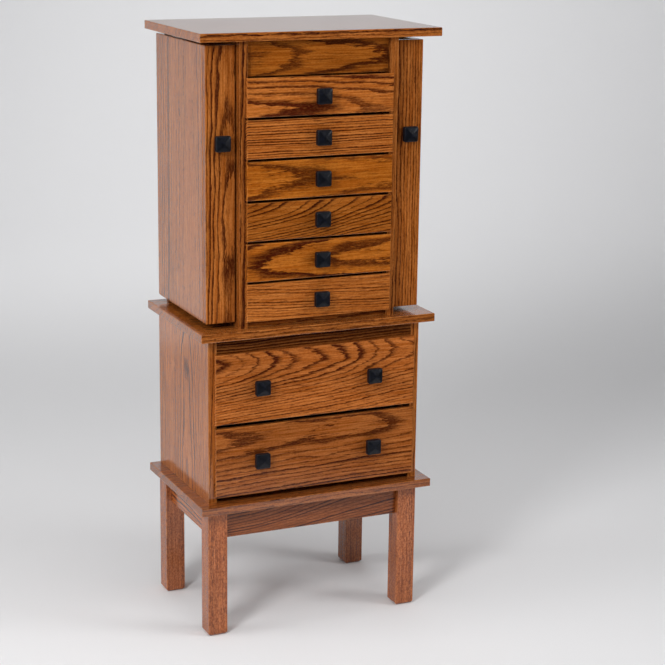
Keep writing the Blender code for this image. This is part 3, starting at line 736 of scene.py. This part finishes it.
def line_necklace_space(side, felt):
    """Felt on the case wall that the necklaces hang against, facing out from the middle."""
    low, high = (Vector(corner) for corner in OPENINGS["necklace_space_" + side])
    wall = "upper_side_" + side
    if side == "left":
        corner = Vector((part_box(wall)[0].x, high.y, low.z + WALL_MARGIN))
        along = -Y_AXIS
    else:
        corner = Vector((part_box(wall)[1].x, low.y, low.z + WALL_MARGIN))
        along = Y_AXIS
    felt_piece("felt_necklace_space_" + side, corner, along * (high.y - low.y),
               Z_AXIS * (high.z - low.z - 2 * WALL_MARGIN), felt, "cabinet")


def ring_roll(name, low, high, material):
    """A bar of foam wrapped in velvet, flat below, round above and tucked in at both ends."""
    half = (high - low) / 2
    middle = (high + low) / 2
    bm = bmesh.new()
    loops = []
    for station in range(ROLL_STATIONS + 1):
        share = -math.cos(math.pi * station / ROLL_STATIONS)
        full = max(0.0, 1.0 - abs(share) ** ROLL_TUCK_POWER) ** 0.5
        wide = half.y * (0.35 + 0.65 * full)
        tall = half.z * (0.45 + 0.55 * full)
        drop = half.z * 0.4 * (1 - full)
        loop = []
        for step in range(ROLL_AROUND):
            angle = 2 * math.pi * step / ROLL_AROUND
            rise = math.sin(angle)
            power = ROLL_TOP_POWER if rise > 0 else ROLL_BOTTOM_POWER
            height = math.copysign(abs(rise) ** power, rise)
            at = Vector((share * half.x, math.cos(angle) * wide, height * tall - drop))
            puff = 1.0 - ROLL_PUFF * (1 + noise.noise((at + middle) * 60.0))
            loop.append(bm.verts.new(middle + Vector((at.x, at.y * puff, at.z * puff))))
        loops.append(loop)
    skin_loops(bm, loops)
    roll = add_piece(name, bm, material, "cabinet")


def fill_ring_tray(velvet):
    """Rolls side by side from the front of the tray to its back; rings are pushed in between them."""
    low, high = (Vector(corner) for corner in OPENINGS["ring_tray"])
    pitch = (high.y - low.y) / ROLL_COUNT
    bottom = low.z - OPENING_CLEAR + FELT_GAP + FELT_THICK
    for number in range(ROLL_COUNT):
        front = low.y + pitch * number
        ring_roll("ring_roll_%d" % (number + 1), Vector((low.x, front + ROLL_GAP, bottom)),
                  Vector((high.x, front + pitch - ROLL_GAP, bottom + ROLL_HEIGHT)), velvet)


def add_linings():
    """Felt in the drawers, in the ring tray and on the necklace walls, and the rolls in the tray."""
    felt = felt_material()
    for number in range(1, len(SMALL_FRONTS) + 1):
        drawer = "small_drawer_%d" % number
        line_floor(drawer + "_inside", drawer, felt)
    for drawer in ("large_drawer_top", "large_drawer_bottom"):
        line_floor(drawer + "_inside", drawer, felt)
    line_floor("ring_tray", "cabinet", felt)
    for side in ("left", "right"):
        line_necklace_space(side, felt)
    fill_ring_tray(velvet_material())


# ---------------------------------------------------------------- hinge screws

LEAF_THICK = 0.0012                   # hinge leaves
SCREW_RADIUS = 0.0026
SCREW_RISE = 0.0006
SCREW_RINGS = 9                       # rings of points from a head's middle to its edge
SCREW_SPOKES = 32
RECESS_HALF_ARM = 0.0004              # half the width of the cross recess
RECESS_REACH = 0.62 * SCREW_RADIUS
RECESS_DEPTH = 0.75 * SCREW_RISE
SCREW_TURN = 0.7                      # each recess is turned this many radians from the last one's
DOOR_SCREWS = 8                       # in each leaf of a door hinge
LID_SCREWS = 6
OFF_THE_PIN = 0.0015                  # door-hinge screws lie this far past midway from pin to leaf edge
LID_SCREW_UP = 0.0042                 # from the lower edge of the lid hinge's fixed leaf


def screw_head(bm, place, turn, twist):
    """One low oval head with a cross recess; turn stands it up and twist spins it."""
    loops = []
    for ring in range(SCREW_RINGS + 1):
        share = ring / SCREW_RINGS
        radius = SCREW_RADIUS * ring / SCREW_RINGS
        loop = []
        for spoke in range(SCREW_SPOKES):
            angle = 2 * math.pi * spoke / SCREW_SPOKES
            x = radius * math.cos(angle)
            y = radius * math.sin(angle)
            rise = SCREW_RISE * math.sqrt(max(0.0, 1.0 - share ** 4))
            if min(abs(x), abs(y)) < RECESS_HALF_ARM and radius < RECESS_REACH:
                rise -= RECESS_DEPTH
            spun = Matrix.Rotation(twist, 3, "Z") @ Vector((x, y, rise))
            loop.append(bm.verts.new(place + turn @ spun))
            if ring == 0:
                break
        loops.append(loop)
    middle = loops[0][0]
    for spoke in range(SCREW_SPOKES):
        following = (spoke + 1) % SCREW_SPOKES
        bm.faces.new((middle, loops[1][spoke], loops[1][following]))
        for here, there in zip(loops[1:], loops[2:]):
            bm.faces.new((here[spoke], there[spoke], there[following], here[following]))
    bm.faces.new(list(reversed(loops[-1])))


def screw_row(leaf, places, brass, body):
    """The screws of one hinge leaf, with their heads towards the rear."""
    turn = Y_AXIS.to_track_quat("Z", "Y")
    bm = bmesh.new()
    for number, place in enumerate(places):
        screw_head(bm, place, turn, SCREW_TURN * number)
    screws = add_piece(leaf + "_screws", bm, brass, body)


def middles(start, end, count):
    """The middle of each of so many equal steps."""
    step = (end - start) / count
    return [start + step * (number + 0.5) for number in range(count)]


def add_screws(brass):
    """A row of screws along each leaf that lies flat against the wood. The lid hinge's moving leaf has
    none: there is no room for heads under the closed lid."""
    for side in ("left", "right"):
        pin_low, pin_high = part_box("door_%s_hinge_pin" % side)
        for leaf, body in (("fixed", "cabinet"), ("moving", "door_" + side)):
            name = "door_%s_hinge_%s_leaf" % (side, leaf)
            low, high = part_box(name)
            outer = low.x if abs(low.x - pin_low.x) > abs(high.x - pin_low.x) else high.x
            across = (outer + (pin_low.x + pin_high.x) / 2) / 2
            across += math.copysign(OFF_THE_PIN, outer - across)
            places = [Vector((across, low.y + LEAF_THICK, z)) for z in middles(low.z, high.z, DOOR_SCREWS)]
            screw_row(name, places, brass, body)
    low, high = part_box("lid_hinge_fixed_leaf")
    places = [Vector((x, low.y + LEAF_THICK, low.z + LID_SCREW_UP))
              for x in middles(low.x, high.x, LID_SCREWS)]
    screw_row("lid_hinge_fixed_leaf", places, brass, "cabinet")


# ---------------------------------------------------------------- floor, backdrop and light


def backdrop_paper():
    """Matt pale paper with a faint grain."""
    material, t, shader = new_material("backdrop_paper", Roughness=0.9, Specular_IOR_Level=0.1)
    grain = t.noise(object_point(t), 260.0, 2.0, 0.5)
    t.put(t.mix(grain, (0.80, 0.80, 0.81), (0.84, 0.84, 0.85)), shader.inputs["Base Color"])
    return material


MIDDLE_RADIUS = 1.2                   # the round piece of floor that the object stands on
FLOOR_RADIUS = 4.6
BEND_RADIUS = 2.0
WALL_TOP = 6.0
BEND_STEPS = 20
SPOKES = 96


def add_stage():
    """A pale round floor that curves up into a wall on every side. It comes in three parts: the middle,
    the back and the front. The front part is what the object's front faces look towards, and it is left
    out of reflections, as the dark end of a studio would be."""
    profile = [(0.0, 0.0), (MIDDLE_RADIUS, 0.0), (FLOOR_RADIUS, 0.0)]
    for step in range(1, BEND_STEPS + 1):
        angle = math.pi / 2 * step / BEND_STEPS
        profile.append((FLOOR_RADIUS + BEND_RADIUS * math.sin(angle), BEND_RADIUS * (1 - math.cos(angle))))
    profile.append((FLOOR_RADIUS + BEND_RADIUS, WALL_TOP))
    paper = backdrop_paper()

    def sector(name, first, last, rings):
        bm = bmesh.new()
        grid = []
        for spoke in range(first, last + 1):
            angle = 2 * math.pi * spoke / SPOKES
            grid.append([bm.verts.new((r * math.cos(angle), r * math.sin(angle), z)) for r, z in rings])
        for here, there in zip(grid, grid[1:]):
            for near, near_next, far, far_next in zip(here, there, here[1:], there[1:]):
                bm.faces.new((near, far, far_next, near_next))
        bmesh.ops.remove_doubles(bm, verts=bm.verts, dist=0.0001)
        part = smooth_object(name, bm, paper)
        return part

    # spokes count round from +X, so three quarters of the way round is straight ahead of the front
    front_starts = SPOKES * 5 // 8
    sector("backdrop_middle", 0, SPOKES, profile[:2])
    sector("backdrop_back", 0, front_starts, profile[1:])
    front = sector("backdrop_front", front_starts, SPOKES, profile[1:])
    front.visible_glossy = False


# name, place, aim, size, watts, spread in degrees
LIGHTS = (
    ("key", (2.6, -2.0, 1.9), (0.0, 0.0, 0.7), (1.2, 1.2), 16.0, 120.0),
    ("left", (-2.4, -2.0, 2.3), (0.0, 0.0, 0.5), (0.8, 0.8), 24.5, 120.0),
    ("side", (-3.6, 0.6, 2.0), (0.0, 0.0, 0.5), (1.6, 1.6), 16.3, 120.0),
    ("overhead", (-0.3, -0.9, 4.0), (-0.3, -0.9, 0.0), (2.6, 2.2), 23.5, 110.0),
    ("wall", (1.4, 3.2, 4.5), (2.6, 6.0, 0.8), (3.0, 1.0), 52.0, 120.0),
    ("behind", (0.3, 3.2, 3.4), (0.3, 3.4, 0.0), (2.6, 1.2), 14.0, 110.0),
)
# white cards for the gloss only: they add nothing to the diffuse light
CARDS = (
    ("card_behind_left", (-1.3, 2.3, 0.75), (-0.3, 0.0, 0.8), (2.0, 1.5), 3.8, 180.0),
    ("card_over_lid", (1.96, 4.6, 2.65), (0.0, 0.0, 1.37), (4.0, 1.3), 2.4, 180.0),
)
AMBIENT = 0.18                        # strength of the even light from all round


def add_light(name, place, aim, size, watts, spread):
    data = bpy.data.lights.new(name, "AREA")
    data.shape = "RECTANGLE"
    data.size, data.size_y = size
    data.energy = watts
    data.spread = math.radians(spread)
    light = bpy.data.objects.new(name, data)
    bpy.context.scene.collection.objects.link(light)
    turn = (Vector(aim) - Vector(place)).to_track_quat("-Z", "Y")
    light.matrix_world = Matrix.Translation(Vector(place)) @ turn.to_matrix().to_4x4()
    light.visible_camera = False
    return light


def add_lights():
    for settings in LIGHTS:
        add_light(*settings)
    for settings in CARDS:
        add_light(*settings).visible_diffuse = False
    world = bpy.data.worlds.new("studio")
    bpy.context.scene.world = world
    world.use_nodes = True
    background = world.node_tree.nodes["Background"]
    background.inputs["Color"].default_value = (*WHITE, 1.0)
    background.inputs["Strength"].default_value = AMBIENT
    world.cycles_visibility.glossy = False


def set_colour():
    """Colours are shown as they are, with no film curve."""
    scene = bpy.context.scene
    scene.view_settings.view_transform = "Standard"
    scene.view_settings.look = "None"
    scene.view_settings.exposure = 0.0
    scene.view_settings.gamma = 1.0


# ---------------------------------------------------------------- the scene

add_camera()
add_stage()
add_lights()
set_colour()
dress_boards()
maple_wood = maple_material()
dress_drawers(maple_wood)
satin_brass = brass_material()
dress_hardware(maple_wood, satin_brass)
add_linings()
add_screws(satin_brass)
